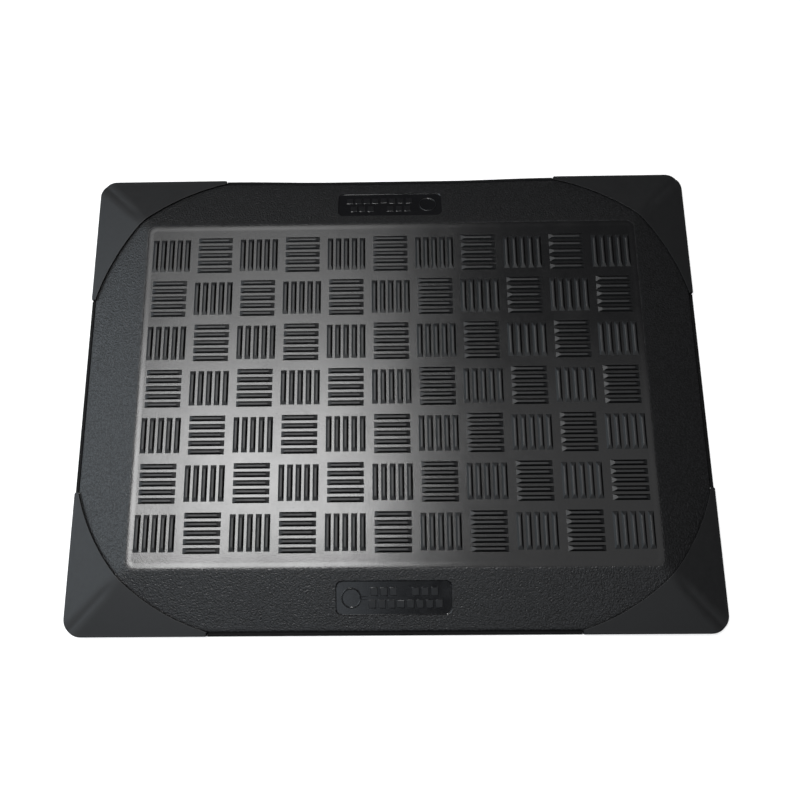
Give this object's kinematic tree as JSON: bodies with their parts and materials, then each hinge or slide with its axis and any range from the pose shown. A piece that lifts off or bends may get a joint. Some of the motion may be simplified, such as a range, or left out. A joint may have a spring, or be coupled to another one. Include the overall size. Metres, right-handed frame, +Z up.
{
  "type": "anti fatigue mat",
  "caption": "Cushioned floor mat with a sloping grained border, a sunk basket-weave rib panel, a non-slip backing and push-on corner caps.",
  "frame": {"origin": "on the floor, under the middle of the mat", "axes": "+X along the long side to the right, +Y towards the rear edge, +Z up"},
  "size_m": [0.6, 0.455, 0.022],
  "materials": {
    "skin_rubber": "fine pebble grain on the border, smooth semi-gloss on the panel",
    "foam": "closed-cell foam",
    "scrim": "open weave with carbon yarn",
    "backing_rubber": "matt, fine non-slip grain",
    "cap_plastic": "smooth satin moulding"
  },
  "bodies": {
    "mat": {"tread_skin": "skin_rubber", "foam_core": "foam", "conductive_scrim": "scrim", "base_sheet": "backing_rubber"},
    "cap_front_left": {"corner_cap_front_left": "cap_plastic"},
    "cap_front_right": {"corner_cap_front_right": "cap_plastic"},
    "cap_rear_left": {"corner_cap_rear_left": "cap_plastic"},
    "cap_rear_right": {"corner_cap_rear_right": "cap_plastic"}
  },
  "joints": [
    {"name": "pull_front_left", "type": "slide", "parent": "mat", "child": "cap_front_left", "axis": [-0.7071, -0.7071, 0], "range_m": [0, 0.08]},
    {"name": "pull_front_right", "type": "slide", "parent": "mat", "child": "cap_front_right", "axis": [0.7071, -0.7071, 0], "range_m": [0, 0.08]},
    {"name": "pull_rear_left", "type": "slide", "parent": "mat", "child": "cap_rear_left", "axis": [-0.7071, 0.7071, 0], "range_m": [0, 0.08]},
    {"name": "pull_rear_right", "type": "slide", "parent": "mat", "child": "cap_rear_right", "axis": [0.7071, 0.7071, 0], "range_m": [0, 0.08]}
  ]
}
